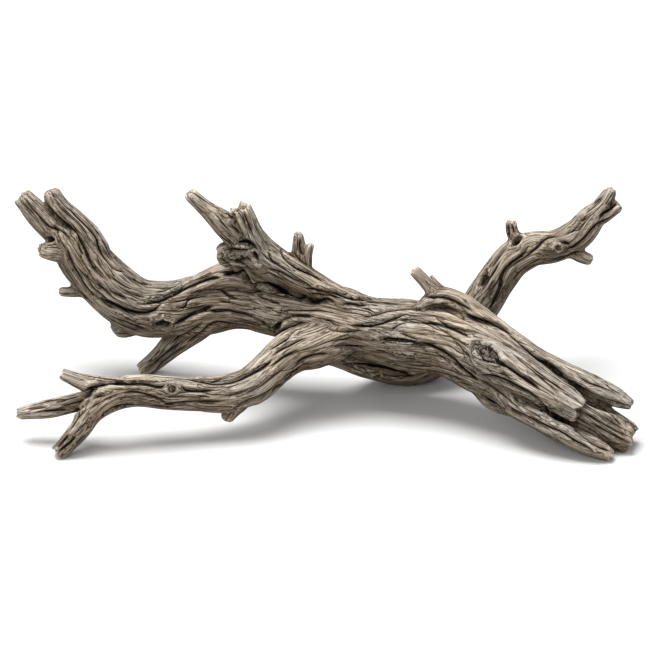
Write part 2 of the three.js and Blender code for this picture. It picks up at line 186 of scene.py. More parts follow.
# Furrows seen on the drawing: (half width, depth, line of (across, down)).
FURROWS = [
    # The left limb
    (1.7, 2.6, [(23, 195), (26, 200), (30, 206), (41, 218), (45, 223), (50, 227), (60, 230), (69, 238)]),
    (1.7, 1.5, [(21, 202), (29, 209), (34, 215), (41, 224)]),
    (2.6, 4.0, [(45, 203), (53, 213), (62, 222), (72, 228), (79, 235)]),
    (2.2, 4.0, [(76, 231), (82, 241), (87, 251), (91, 263), (99, 274), (107, 282)]),
    (1.7, 2.2, [(50, 190), (53, 194), (57, 199)]),
    (1.9, 3.2, [(68, 207), (80, 219), (91, 230), (97, 238), (100, 249), (107, 260), (116, 269),
                (126, 272)]),
    (1.7, 1.6, [(61, 223), (67, 227), (75, 235)]),
    (1.7, 1.6, [(56, 203), (64, 211), (74, 220), (82, 228), (90, 240)]),
    (2.0, 3.6, [(68, 249), (69, 257), (74, 268), (81, 280), (89, 291), (98, 298)]),
    (1.7, 2.2, [(65, 273), (73, 285), (82, 295), (93, 303)]),
    (1.7, 1.8, [(80, 270), (87, 277), (92, 281), (100, 287), (109, 291)]),
    (1.7, 2.0, [(79, 240), (80, 247), (84, 256)]),
    (3.0, 1.6, [(97, 253), (101, 266), (110, 277), (121, 284), (134, 291)]),
    (1.8, 2.6, [(104, 287), (112, 292), (121, 296), (128, 299)]),
    (2.6, 6.0, [(98, 296), (108, 303), (117, 307), (127, 311), (139, 313), (149, 312), (157, 307),
                (163, 301)]),
    (2.4, 5.0, [(140, 305), (151, 303), (160, 300), (168, 296), (181, 290), (191, 286), (200, 282),
                (209, 279), (221, 278)]),
    (3.0, 1.6, [(158, 299), (170, 293), (184, 287)]),
    (1.8, 2.0, [(130, 277), (139, 281), (151, 284)]),
    (1.7, 1.8, [(114, 283), (123, 289), (133, 294), (146, 297)]),
    (1.7, 1.6, [(152, 292), (166, 289), (180, 283), (196, 276)]),
    (1.7, 2.0, [(108, 314), (116, 319), (127, 323), (140, 328), (150, 330)]),
    (2.4, 5.0, [(172, 327), (177, 323), (183, 320), (191, 315), (199, 312), (205, 309), (213, 306)]),
    (1.9, 2.8, [(206, 311), (217, 312), (227, 311), (236, 313), (247, 315), (258, 320), (266, 324)]),
    (1.9, 2.6, [(172, 342), (183, 335), (193, 330), (203, 322)]),
    (1.8, 2.4, [(190, 341), (201, 333), (209, 326), (217, 323), (228, 324), (242, 326)]),
    (1.7, 2.2, [(176, 308), (184, 307), (187, 301), (193, 298)]),
    (1.7, 1.6, [(190, 294), (200, 291), (212, 290), (222, 291), (230, 296), (238, 298)]),
    (1.8, 2.2, [(180, 343), (169, 351), (159, 359), (149, 368)]),
    (1.8, 2.0, [(188, 344), (176, 353), (165, 361), (156, 369)]),
    (2.0, 3.0, [(259, 320), (265, 323), (271, 329)]),
    (1.7, 1.4, [(214, 300), (226, 302), (240, 305), (252, 307)]),
    # The antler
    (2.0, 3.6, [(227, 210), (232, 216), (236, 222), (240, 229)]),
    (1.7, 1.8, [(223, 215), (226, 219)]),
    (1.7, 1.4, [(229, 222), (235, 228), (241, 235)]),
    (1.7, 1.4, [(214, 212), (220, 219), (225, 226), (232, 234)]),
    (1.9, 3.0, [(243, 211), (246, 218), (249, 225), (252, 234)]),
    (1.7, 2.0, [(235, 206), (238, 212), (243, 220), (246, 230)]),
    (1.7, 1.6, [(252, 217), (256, 226), (262, 237), (270, 248)]),
    (2.6, 5.0, [(236, 243), (246, 242), (252, 245), (257, 249)]),
    (2.0, 3.0, [(226, 249), (237, 250), (247, 250), (253, 248)]),
    (2.0, 2.6, [(217, 257), (222, 260), (230, 266), (234, 270)]),
    (1.7, 2.0, [(231, 260), (237, 261), (244, 259), (249, 260), (253, 264)]),
    (1.7, 1.8, [(241, 262), (245, 265), (250, 269), (258, 270)]),
    (1.7, 2.0, [(269, 250), (270, 256), (272, 260), (276, 263), (280, 264)]),
    (2.2, 4.0, [(280, 248), (284, 256), (289, 261), (294, 265), (299, 268), (306, 271), (317, 277)]),
    (1.7, 2.2, [(284, 245), (288, 251), (294, 257)]),
    (1.7, 1.8, [(292, 251), (297, 257), (303, 262), (309, 266)]),
    (1.8, 2.6, [(301, 239), (300, 248), (303, 255)]),
    (3.4, 8.0, [(222, 274), (228, 273), (234, 271), (240, 273), (245, 277), (250, 283)]),
    (3.0, 6.0, [(238, 266), (243, 272), (248, 279), (252, 285)]),
    (3.2, 8.0, [(250, 285), (260, 285), (269, 286), (277, 288), (284, 290), (291, 293), (299, 295),
                (307, 297)]),
    (2.0, 3.6, [(304, 289), (313, 290), (321, 292), (330, 292), (338, 293), (345, 296), (351, 298),
                (361, 299), (371, 299), (381, 299), (392, 299)]),
    (2.2, 4.0, [(305, 297), (309, 299), (314, 301), (321, 301), (329, 301), (336, 304)]),
    (3.4, 3.0, [(308, 295), (320, 296), (334, 297), (346, 299)]),
    (1.8, 2.6, [(305, 271), (311, 273), (317, 277), (324, 281)]),
    (1.7, 1.5, [(260, 275), (269, 274), (277, 277), (284, 280), (291, 283), (299, 286)]),
    (1.7, 1.5, [(264, 268), (273, 270), (280, 272), (288, 276), (295, 280), (303, 283), (312, 286)]),
    (1.7, 1.8, [(222, 291), (227, 294), (232, 297), (238, 298)]),
    (1.7, 1.8, [(244, 291), (252, 292), (260, 291)]),
    (1.7, 2.0, [(259, 295), (264, 298), (270, 299)]),
    # The middle of the trunk
    (1.7, 1.8, [(340, 305), (350, 304), (361, 305), (371, 304)]),
    (1.7, 1.8, [(281, 313), (289, 310), (297, 310), (308, 310), (319, 310), (330, 312), (338, 314)]),
    (1.9, 2.8, [(273, 333), (277, 328), (281, 322), (288, 318), (296, 316), (304, 316), (316, 316)]),
    (1.7, 1.6, [(323, 320), (330, 321), (334, 324), (340, 326)]),
    (1.8, 2.2, [(327, 327), (332, 330), (338, 331), (347, 332), (355, 331), (366, 331)]),
    (1.8, 2.0, [(359, 316), (368, 316), (374, 315), (381, 313), (387, 311), (394, 310), (400, 309),
                (409, 309), (419, 310), (427, 313)]),
    (2.0, 3.2, [(349, 325), (357, 326), (366, 326), (374, 325), (382, 323), (389, 320), (396, 317),
                (402, 315), (409, 315)]),
    (1.8, 2.4, [(397, 319), (405, 319), (413, 319), (419, 320), (426, 323), (433, 327), (440, 331)]),
    (1.7, 1.0, [(390, 332), (395, 327), (400, 324), (410, 322)]),
    (2.0, 3.0, [(378, 340), (390, 340), (401, 340), (410, 341), (417, 341)]),
    (1.8, 2.4, [(400, 333), (405, 335), (410, 337), (416, 339)]),
    (2.4, 4.5, [(417, 342), (429, 345), (437, 349), (443, 352), (450, 357), (455, 361), (462, 369),
                (470, 376), (480, 382)]),
    (2.2, 3.4, [(333, 347), (345, 346), (355, 347), (369, 347)]),
    (1.8, 2.4, [(334, 360), (341, 356), (350, 355), (362, 355)]),
    (1.7, 1.6, [(372, 350), (384, 352), (398, 358), (412, 361), (424, 362)]),
    (3.6, 8.0, [(341, 365), (356, 366), (370, 367), (384, 369), (398, 372), (412, 376)]),
    (1.8, 2.4, [(357, 366), (365, 370), (369, 374)]),
    (1.9, 2.8, [(384, 379), (397, 379), (410, 377), (423, 374)]),
    (2.4, 4.5, [(424, 296), (434, 297), (443, 298), (450, 300), (458, 304), (466, 308), (474, 312)]),
    (2.2, 4.0, [(461, 308), (466, 313), (471, 317), (479, 320), (490, 323), (499, 326), (506, 330),
                (513, 335)]),
    (1.7, 1.6, [(440, 310), (450, 313), (463, 319), (476, 326)]),
    (2.2, 4.0, [(435, 318), (441, 321), (447, 325), (455, 329), (463, 333), (471, 338)]),
    (1.7, 1.6, [(424, 318), (434, 324), (444, 331), (454, 337)]),
    (1.7, 1.4, [(452, 339), (458, 344), (463, 350), (467, 356)]),
    (1.7, 2.0, [(442, 371), (450, 374), (458, 378), (470, 385), (481, 392)]),
    (1.7, 1.8, [(430, 350), (440, 356), (450, 364), (458, 372), (467, 378)]),
    # The split end
    (2.0, 3.2, [(450, 375), (461, 382), (470, 387), (481, 394), (490, 401), (501, 407), (509, 411)]),
    (1.8, 2.2, [(477, 379), (485, 383), (494, 389), (503, 395), (513, 403), (522, 410)]),
    (2.8, 5.5, [(480, 375), (490, 377), (501, 380), (510, 384), (519, 389), (527, 393), (535, 399),
                (543, 406), (551, 413)]),
    (2.4, 5.0, [(495, 358), (500, 362), (506, 366), (513, 371), (521, 377), (530, 383), (540, 390)]),
    (2.2, 2.8, [(502, 371), (507, 377)]),
    (2.4, 4.5, [(505, 330), (511, 335), (521, 343), (529, 350), (537, 357), (546, 363), (555, 371),
                (563, 378)]),
    (2.6, 3.0, [(540, 357), (550, 365), (560, 374), (568, 382)]),
    (3.8, 10.0, [(564, 381), (574, 389), (583, 395), (591, 401), (601, 406), (610, 410), (618, 414)]),
    (1.7, 1.8, [(525, 362), (535, 369), (546, 377), (557, 385), (566, 391)]),
    (1.7, 1.8, [(535, 359), (549, 370), (561, 379)]),
    (1.7, 1.8, [(510, 352), (522, 361), (534, 371), (548, 383), (560, 393)]),
    (2.0, 3.4, [(583, 403), (590, 407), (599, 413), (607, 418), (615, 423), (624, 429)]),
    (1.7, 2.4, [(590, 422), (598, 427), (607, 432), (617, 437), (628, 443)]),
    (1.7, 2.0, [(584, 413), (594, 418), (605, 425), (618, 432), (630, 437)]),
    (4.6, 11.0, [(549, 413), (557, 417), (566, 421), (576, 426)]),
    (3.0, 7.0, [(572, 426), (583, 434), (592, 440), (601, 446), (611, 451)]),
    (1.9, 2.6, [(529, 414), (537, 421), (546, 426), (557, 430), (565, 434), (575, 441), (585, 446),
                (595, 453)]),
    (1.8, 2.2, [(500, 398), (512, 408), (526, 416), (542, 425)]),
    (2.0, 3.0, [(591, 373), (598, 377), (610, 386), (622, 394)]),
    (1.7, 2.0, [(575, 371), (580, 377), (586, 382), (597, 385), (607, 389)]),
    (1.8, 2.0, [(573, 383), (583, 389), (594, 394), (605, 399), (617, 403), (628, 406)]),
    # The front branch
    (2.6, 5.5, [(74, 392), (85, 391), (93, 388), (102, 385), (109, 384)]),
    (2.2, 4.0, [(105, 384), (117, 383), (127, 383), (138, 383), (149, 384), (156, 386), (163, 386),
                (168, 383)]),
    (2.4, 4.5, [(84, 400), (87, 396), (91, 392), (98, 388)]),
    (1.8, 2.2, [(90, 400), (95, 397), (101, 396), (106, 395)]),
    (2.2, 4.0, [(74, 415), (78, 410), (84, 405), (88, 402), (92, 400)]),
    (1.7, 1.6, [(90, 409), (99, 403), (106, 399), (116, 396)]),
    (1.8, 2.4, [(121, 393), (131, 392), (140, 393), (151, 396), (159, 399), (167, 403)]),
    (1.9, 3.0, [(102, 418), (104, 414), (109, 411), (117, 407), (127, 406), (138, 406)]),
    (2.0, 4.0, [(56, 447), (61, 442), (68, 434)]),
    (2.0, 4.0, [(58, 453), (63, 448), (70, 443), (76, 436)]),
    (1.7, 2.0, [(69, 431), (74, 423), (80, 415), (88, 409)]),
    (1.8, 3.0, [(29, 409), (38, 408), (46, 407)]),
    (1.8, 2.6, [(35, 412), (45, 411), (58, 411), (70, 410)]),
    (1.7, 2.0, [(53, 402), (60, 401), (70, 398), (80, 396)]),
    (1.7, 2.0, [(60, 407), (70, 404), (78, 402), (85, 400)]),
    (1.7, 1.5, [(112, 390), (122, 389), (134, 389), (148, 391)]),
    (2.0, 3.4, [(180, 383), (185, 389), (193, 391), (201, 391), (210, 390), (219, 390)]),
    (2.2, 3.8, [(186, 378), (194, 380), (203, 381), (213, 383), (222, 383), (230, 382), (239, 379),
                (249, 374), (257, 370), (265, 365), (273, 359)]),
    (1.8, 2.2, [(267, 350), (274, 347), (281, 342), (289, 336), (295, 332)]),
    (1.9, 2.8, [(270, 357), (279, 350), (289, 345), (299, 340), (308, 337)]),
    (1.7, 1.6, [(270, 367), (277, 362), (283, 357), (291, 353), (300, 349)]),
    (1.8, 2.4, [(286, 337), (291, 333), (300, 328), (308, 326)]),
    (1.7, 1.8, [(275, 336), (283, 331), (291, 327), (300, 323), (310, 323)]),
    (1.8, 2.2, [(270, 348), (277, 345), (283, 341), (290, 337)]),
    (1.7, 2.0, [(224, 396), (235, 394), (243, 392), (249, 389)]),
    (1.9, 2.6, [(160, 400), (166, 404), (177, 403), (190, 402), (203, 402), (214, 402), (225, 401)]),
    (2.4, 4.5, [(218, 412), (226, 411), (233, 410), (241, 405), (249, 401), (257, 398), (265, 394),
                (274, 388), (283, 382)]),
    (2.0, 3.4, [(296, 365), (301, 361), (307, 358), (317, 355), (325, 354), (332, 353)]),
    (1.8, 2.2, [(283, 377), (294, 372), (303, 366), (312, 361)]),
    (1.7, 1.4, [(200, 386), (214, 387), (228, 387), (240, 384), (251, 379)]),
    (1.7, 1.4, [(150, 390), (160, 394), (170, 397), (184, 397), (198, 397), (212, 397)]),
    # The rear limb
    (2.0, 3.4, [(489, 309), (496, 299), (500, 288), (502, 275), (506, 268), (512, 263), (519, 258),
                (525, 252), (529, 245)]),
    (1.8, 2.6, [(502, 283), (505, 274), (511, 267), (517, 263), (525, 258), (532, 252), (539, 246),
                (544, 240), (549, 237), (560, 236)]),
    (1.9, 2.8, [(544, 263), (556, 260), (566, 257), (575, 253), (584, 252)]),
    (2.0, 3.6, [(565, 250), (574, 247), (581, 242), (588, 235), (593, 229), (599, 224), (609, 219),
                (617, 214)]),
    (2.0, 2.4, [(580, 221), (586, 218)]),
    (1.7, 1.8, [(564, 234), (573, 231), (579, 229), (583, 224), (590, 217)]),
    (2.4, 4.5, [(599, 220), (604, 214), (609, 210), (613, 205), (617, 201)]),
    (1.7, 1.8, [(478, 296), (486, 284), (494, 271), (500, 260)]),
    (1.7, 1.6, [(512, 283), (520, 273), (530, 265), (542, 258)]),
    (1.7, 1.6, [(585, 214), (594, 206), (602, 198)]),
    (1.8, 2.2, [(555, 243), (561, 242), (567, 243), (570, 246)]),
    (1.8, 2.4, [(508, 224), (508, 231), (509, 237)]),
    (1.8, 2.4, [(513, 223), (514, 230), (515, 235)]),
]

# Furrows on the far side, seen from the opposite eye on the same drawing.
REAR_FURROWS = [
    (2.6, 6.0, [(380, 318), (420, 312), (460, 322), (505, 346), (545, 372), (590, 400)]),
    (1.8, 3.0, [(330, 330), (370, 340), (410, 336), (455, 348), (500, 372)]),
    (1.8, 2.4, [(350, 350), (392, 356), (430, 362), (470, 376), (508, 398)]),
    (2.4, 5.0, [(96, 262), (118, 290), (150, 306), (185, 296), (225, 292), (270, 306)]),
    (1.8, 3.0, [(60, 232), (84, 268), (110, 300), (150, 322)]),
    (1.8, 2.4, [(74, 230), (96, 254), (120, 284), (150, 296), (190, 288)]),
    (1.8, 3.0, [(125, 394), (165, 390), (210, 396), (245, 386), (280, 364)]),
    (1.8, 2.4, [(140, 384), (180, 382), (220, 384), (256, 372)]),
    (1.8, 3.0, [(490, 300), (510, 270), (540, 250), (580, 236)]),
    (1.8, 2.4, [(478, 306), (494, 280), (516, 260), (550, 244)]),
    (1.9, 3.4, [(240, 232), (262, 262), (300, 286), (340, 302)]),
    (1.8, 2.4, [(226, 226), (246, 252), (276, 276), (312, 294)]),
]

# Knots: (across, down, half length, half width, depth, tilt in degrees, collar's height, reach of the swirl
# in the grain, crumbliness). A depth below nought is a boss.
KNOTS = [
    (397, 340, 18, 2.2, 1.7, 3, 1.2, 22, 1.6),
    (419, 346, 10, 4.4, 2.4, 18, 0.0, 0, 1.2),
    (402, 352, 17, 5, -1.0, 6, 0.0, 0, 1.2),
    (484, 350, 16, 7.4, 3.4, 40, 0.5, 22, 4.2),
    (499, 363, 8, 3.4, 2.4, 42, 0.0, 0, 1.8),
    (376, 375.5, 4.5, 4, 2.5, 0, 1.4, 10, 0.6),
    (50.5, 239, 5.5, 2.6, 6, 6, 0.8, 12, 0.4),
    (163, 324, 9, 5, 7, -12, 2.4, 18, 0.8),
    (517, 241.5, 8, 3.8, 6, -48, 2.0, 14, 0.8),
    (483, 280, 9, 4.6, 5, -58, 1.0, 13, 0.8),
    (256, 256, 6.5, 2.3, 6, 66, 0.3, 13, 1.0),
    (258, 265, 4.5, 4, -2.4, 0, 0.0, 0, 0.3),
    (172, 389, 5, 4.5, 1.2, 0, 1.2, 13, 1.6),
    (558, 248, 5, 4, 2.2, 10, 1.6, 12, 0.4),
    (278, 326, 7, 3.4, 4.5, -48, 0.8, 12, 0.5),
    (236, 256, 17, 8, 0.4, 4, 0.3, 12, 2.2),
    (521, 399, 9, 5, -0.8, 32, 0.0, 0, 1.0),
    (272.5, 371, 9, 4, -2.6, -38, 0.0, 0, 0.5),
]
REAR_KNOTS = [
    (430, 330, 12, 7, 5, 10, 2.0, 22, 1.6),
    (205, 305, 10, 6, 6, -15, 2.2, 20, 0.8),
    (548, 400, 9, 5, 4, 30, 1.4, 14, 0.8),
    (262, 372, 6, 4, 3, -30, 1.4, 12, 0.6),
]

# Noise

GRADIENTS = np.random.default_rng(7).normal(size=(256, 3))
GRADIENTS /= np.linalg.norm(GRADIENTS, axis=1, keepdims=True)
SHUFFLE = np.tile(np.random.default_rng(8).permutation(256), 3)


def noise(across, front, along, seed):
    """Smooth repeatable noise from about -1 to 1 at points given in cells."""
    points = np.stack([across + 17.3 * seed, front + 5.1 * seed, along + 9.7 * seed], axis=1)
    cell = np.floor(points).astype(np.int64)
    part = points - cell
    fade = part ** 3 * (part * (part * 6 - 15) + 10)
    total = np.zeros(len(points))
    for corner in itertools.product((0, 1), repeat=3):
        x, y, z = ((cell + corner) & 255).T
        gradient = GRADIENTS[SHUFFLE[SHUFFLE[SHUFFLE[x] + y] + z]]
        share = np.prod(np.where(corner, fade, 1 - fade), axis=1)
        total += share * np.einsum("ij,ij->i", gradient, part - corner)
    return 1.7 * total


def ease(value, low, high):
    """Rises smoothly from 0 at low to 1 at high."""
    share = np.clip((value - low) / (high - low), 0, 1)
    return share * share * (3 - 2 * share)


def valley(value, width):
    """0 where a value crosses nought, rising steeply to 1 on either side."""
    return 1 - np.exp(-(np.abs(value) / width) ** 1.2)


# The drawing

def on_sheet(across, down):
    """A place on the drawing as a point in space."""
    return AIM + (SHEET / 2 - down) * SIGHT_UP + np.array([across - SHEET / 2, 0, 0])


def place(across, down, back):
    """The point in space that the drawing shows at a place and that lies that far back."""
    sight = on_sheet(across, down) - EYE
    return EYE + sight * (FRONT_FEET + back - EYE[1]) / sight[1]


# Lines

def smooth_rows(rows, power, steps):
    """A Catmull-Rom curve through rows, as many steps to a span."""
    rows = np.vstack([2 * rows[0] - rows[1], rows, 2 * rows[-1] - rows[-2]])
    spans = np.linalg.norm(np.diff(rows, axis=0), axis=1, keepdims=True) ** power
    out = []
    for i in range(1, len(rows) - 2):
        before, start, stop, after = rows[i - 1:i + 3]
        d0, d1, d2 = spans[i - 1:i + 2]
        leave = d1 * ((start - before) / d0 - (stop - before) / (d0 + d1) + (stop - start) / d1)
        reach = d1 * ((stop - start) / d1 - (after - start) / (d1 + d2) + (after - stop) / d2)
        t = (np.arange(steps) / steps)[:, None]
        out.append(start + leave * t + (3 * (stop - start) - 2 * leave - reach) * t ** 2
                   + (2 * (start - stop) + leave + reach) * t ** 3)
    return np.vstack(out + [rows[-2:-1]])


def steps_along(line):
    """How far along a line each of its points lies."""
    return np.concatenate([[0], np.cumsum(np.linalg.norm(np.diff(line, axis=0), axis=1))])


def in_box_round(line, points, reach):
    """Which points lie within reach of the box round a line."""
    low, high = line.min(axis=0) - reach, line.max(axis=0) + reach
    return np.flatnonzero(((points > low) & (points < high)).all(axis=1))


def near_line(points, line, margin):
    """Which points lie near a line, how far off it, how far from its nearer end, and on which run of it."""
    near = in_box_round(line, points, margin)
    spot = points[near]
    starts = steps_along(line)
    gap = np.full(len(spot), 1e9)
    reached = np.zeros(len(spot))
    run_of = np.zeros(len(spot), int)
    for i, run in enumerate(np.diff(line, axis=0)):
        share = np.clip((spot - line[i]) @ run / (run @ run), 0, 1)
        off = np.linalg.norm(spot - line[i] - share[:, None] * run, axis=1)
        closer = off < gap
        gap = np.where(closer, off, gap)
        reached = np.where(closer, starts[i] + share * (starts[i + 1] - starts[i]), reached)
        run_of = np.where(closer, i, run_of)
    return near, gap, np.minimum(reached, starts[-1] - reached), run_of, starts[-1]


# Meshes

def read_points(mesh):
    flat = np.empty(len(mesh.vertices) * 3)
    mesh.vertices.foreach_get("co", flat)
    return flat.reshape(-1, 3)


def write_points(mesh, points):
    mesh.vertices.foreach_set("co", (points * MM).ravel())
    mesh.update()


def read_normals(mesh):
    flat = np.empty(len(mesh.vertices) * 3)
    mesh.vertex_normals.foreach_get("vector", flat)
    return flat.reshape(-1, 3)


def neighbours(mesh):
    edges = np.empty(len(mesh.edges) * 2, int)
    mesh.edges.foreach_get("vertices", edges)
    return edges.reshape(-1, 2)


def spread(values, edges, share, rounds):
    """Evens out values over a mesh: each round, a point moves by a share towards its neighbours' mean."""
    count = len(values)
    degree = np.bincount(edges.ravel(), minlength=count)
    values = values.reshape(count, -1).astype(float)
    share = np.broadcast_to(share, count)[:, None]
    for _ in range(rounds):
        mean = np.stack([
            np.bincount(edges[:, 0], values[edges[:, 1], k], count)
            + np.bincount(edges[:, 1], values[edges[:, 0], k], count)
            for k in range(values.shape[1])], axis=1) / degree[:, None]
        values += share * (mean - values)
    return values


def add_attribute(skin, name, kind, domain, values):
    attribute = skin.attributes.new(name, kind, domain)
    field = "value" if kind == "FLOAT" else "vector"
    attribute.data.foreach_set(field, np.ascontiguousarray(values, dtype=np.float32).ravel())


# Limbs

def limb_rows(end, route):
    """Evenly spaced rows along a limb: centres, directions, girths, and its length."""
    centres = smooth_rows(np.array([place(*row[:3]) for row in route]), 0.5, 40)
    girths = smooth_rows(np.array([row[3:] for row in route], float), 0.0, 40)
    run = steps_along(centres)
    along = np.linspace(0, run[-1], max(4, round(run[-1] / ROW_STEP)) + 1)
    centre = np.stack([np.interp(along, run, centres[:, k]) for k in range(3)], axis=1)
    girth = np.stack([np.interp(along, run, girths[:, k]) for k in range(2)], axis=1)
    forward = np.gradient(centre, axis=0)
    forward /= np.linalg.norm(forward, axis=1, keepdims=True)
    toward = EYE - centre
    toward -= forward * np.einsum("ij,ij->i", toward, forward)[:, None]
    toward /= np.linalg.norm(toward, axis=1, keepdims=True)
    return {
        "end": end, "length": run[-1], "step": along[1], "centre": centre, "forward": forward,
        "toward": toward, "across": np.cross(forward, toward), "girth": girth,
    }


def limb_shape(limb):
    """Adds a ball and draws it out along a limb, with a domed root and a worn or broken tip."""
    length, girth = limb["length"], limb["girth"]
    root, tip = girth[0, 0], girth[-1, 0]
    quarter = np.linspace(0, math.pi / 2, 6)
    body = np.arange(root, length - tip, ROW_STEP)
    along = [root * (1 - np.cos(quarter)), body]
    size = [np.sin(quarter), np.ones(len(body))]
    if limb["end"] == "worn":
        share = np.linspace(0, 1, 8)
        along.append(length - tip + tip * share)
        size.append((1 - share ** 3) ** (1 / 3))
    else:
        along.append(length - np.array([0.6 * tip, 0.2 * tip, 0, 0, 1, 2]))
        size.append(np.array([1, 1, 0.96, 0.7, 0.35, 0]))
    along, size = np.concatenate(along), np.concatenate(size)
    sides = max(12, round(2 * math.pi * girth.max() / 3))
    bpy.ops.mesh.primitive_uv_sphere_add(segments=sides, ring_count=len(along) - 1, radius=1)
    ball = bpy.context.object
    corner = read_points(ball.data)
    ring = np.round(np.arccos(np.clip(corner[:, 2], -1, 1)) / math.pi * (len(along) - 1)).astype(int)
    angle = -np.arctan2(corner[:, 1], corner[:, 0])
    row = np.clip(along[ring] / limb["step"], 0, len(limb["centre"]) - 1)
    centre, forward, toward, across, width, depth = rows_at(limb, row)
    beyond = along[ring] - row * limb["step"]
    point = centre + forward * beyond[:, None]
    point += across * (width * size[ring] * np.sin(angle))[:, None]
    point += toward * (depth * size[ring] * np.cos(angle))[:, None]
    write_points(ball.data, point)
    return ball


def rows_at(limb, row):
    """A limb's centre, directions, half width and half depth at fractional rows."""
    low = np.minimum(row.astype(int), len(limb["centre"]) - 2)
    share = (row - low)[:, None]
    blend = [limb[key][low] * (1 - share) + limb[key][low + 1] * share
             for key in ("centre", "forward", "toward", "across", "girth")]
    return blend[0], blend[1], blend[2], blend[3], blend[4][:, 0], blend[4][:, 1]


def limb_places(limb, points):
    """Where points lie on a limb: to its side, to its front, along it, and how far off its surface."""
    nearest = np.empty(len(points), int)
    batch = 20000
    for start in range(0, len(points), batch):
        some = points[start:start + batch]
        gaps = ((some ** 2).sum(1)[:, None] - 2 * some @ limb["centre"].T + (limb["centre"] ** 2).sum(1))
        nearest[start:start + batch] = gaps.argmin(axis=1)
    offset = points - limb["centre"][nearest]
    row = nearest + np.einsum("ij,ij->i", offset, limb["forward"][nearest]) / limb["step"]
    row = np.clip(row, 0, len(limb["centre"]) - 1)
    centre, forward, toward, across, width, depth = rows_at(limb, row)
    offset = points - centre
    past = np.einsum("ij,ij->i", offset, forward)
    side = np.einsum("ij,ij->i", offset, across)
    front = np.einsum("ij,ij->i", offset, toward)
    off = (np.hypot(side / width, front / depth) - 1) * np.minimum(width, depth)
    inside = (row > 0) & (row < len(limb["centre"]) - 1)
    off = np.where(inside, off, np.hypot(np.maximum(off, 0), past))
    return {"side": side, "front": front, "along": row * limb["step"] + past, "off": off,
            "girth": 0.5 * (width + depth), "forward": forward, "toward": toward, "across": across}


def off_limbs(limbs, points):
    """How far points lie off each limb's surface."""
    off = np.full((len(limbs), len(points)), UNREACHED)
    for i, limb in enumerate(limbs):
        near = in_box_round(limb["centre"], points, limb["girth"].max() + LIMB_REACH)
        off[i, near] = limb_places(limb, points[near])["off"]
    return off


# The grain

def grain_places(limb, spot, seed):
    """Points on a limb in its grain's own coordinates, which sway and draw in where the limb is slim."""
    taper = (limb["girth"].mean() / spot["girth"]) ** 0.5
    x, y, along = spot["side"] * taper, spot["front"] * taper, spot["along"]
    sway = 3.0 * noise(along / 75, x / 60, y / 60, seed + 1)
    sway += 1.4 * noise(along / 24, x / 20, y / 20, seed + 2)
    return x + sway, y + 0.8 * sway, along


def strands(grain, seed):
    """Three sizes of strands and two sets of cracks, as values that cross nought along their lines."""
    x, y, along = grain
    return {
        "broad": noise(x / 16, y / 16, along / 170, seed + 3),
        "middle": noise(x / 8, y / 8, along / 95, seed + 4),
        "small": noise(x / 4.2, y / 4.2, along / 52, seed + 5),
        "crack": noise(x / 9, y / 9, along / 110, seed + 7),
        "crack_there": ease(noise(x / 15, y / 15, along / 42, seed + 8), 0.0, 0.3),
        "check": noise(x / 5, y / 5, along / 70, seed + 9),
        "check_there": ease(noise(x / 11, y / 11, along / 30, seed + 10), 0.0, 0.3),
    }


def strand_gaps(spot, facing, grain, seed):
    """How far points lie across the grain from the nearest line of each set of strands and cracks."""
    x, y, along = grain
    front_share = np.einsum("ij,ij->i", facing, spot["toward"])
    side_share = np.einsum("ij,ij->i", facing, spot["across"])
    turn = np.stack([front_share, -side_share])
    turn *= LINE_STEP / np.maximum(np.linalg.norm(turn, axis=0), 1e-6)
    here = strands(grain, seed)
    beside = strands((x + turn[0], y + turn[1], along), seed)
    gaps = {name: here[name] * LINE_STEP / np.maximum(np.abs(beside[name] - here[name]), 1e-5)
            for name in ("broad", "middle", "small", "crack", "check")}
    gaps["crack"] /= np.maximum(here["crack_there"], 1e-3)
    gaps["check"] /= np.maximum(here["check_there"], 1e-3)
    return gaps


def strand_relief(limb, spot, seed):
    """The relief of a limb's wood at points on it, in mm."""
    grain = grain_places(limb, spot, seed)
    x, y, along = grain
    wood = strands(grain, seed)
    stout = np.clip(spot["girth"] / 26, 0.28, 1.15)
    slim = np.clip(spot["girth"] / 15, 0.35, 1)
    patch = ease(noise(x / 26, y / 26, along / 80, seed + 6), -0.25, 0.35)
    swell = noise(x / 34, y / 34, along / 48, seed + 11)
    relief = stout * (1.1 * (valley(wood["broad"], 0.09) - 0.8) + 2.0 * swell)
    relief += stout * (0.2 + 0.6 * patch) * (valley(wood["middle"], 0.20) - 0.7)
    relief += slim * 0.4 * (np.abs(wood["small"]) ** 0.8 - 0.28)
    relief -= slim * 0.9 * wood["crack_there"] * np.exp(-(wood["crack"] / 0.09) ** 2)
    relief -= slim * 0.35 * wood["check_there"] * np.exp(-(wood["check"] / 0.18) ** 2)
    return relief


# Furrows and knots

def find_points(tree, eye, line):
    """Where an eye's sight lines through places on the drawing meet the skin, and how it faces there."""
    found = []
    for across, down in line:
        sight = Vector(on_sheet(across, down) - eye).normalized()
        point, normal, _, _ = tree.ray_cast(Vector(eye), sight)
        if point is not None:
            found.append((np.array(point), np.array(normal)))
    return found


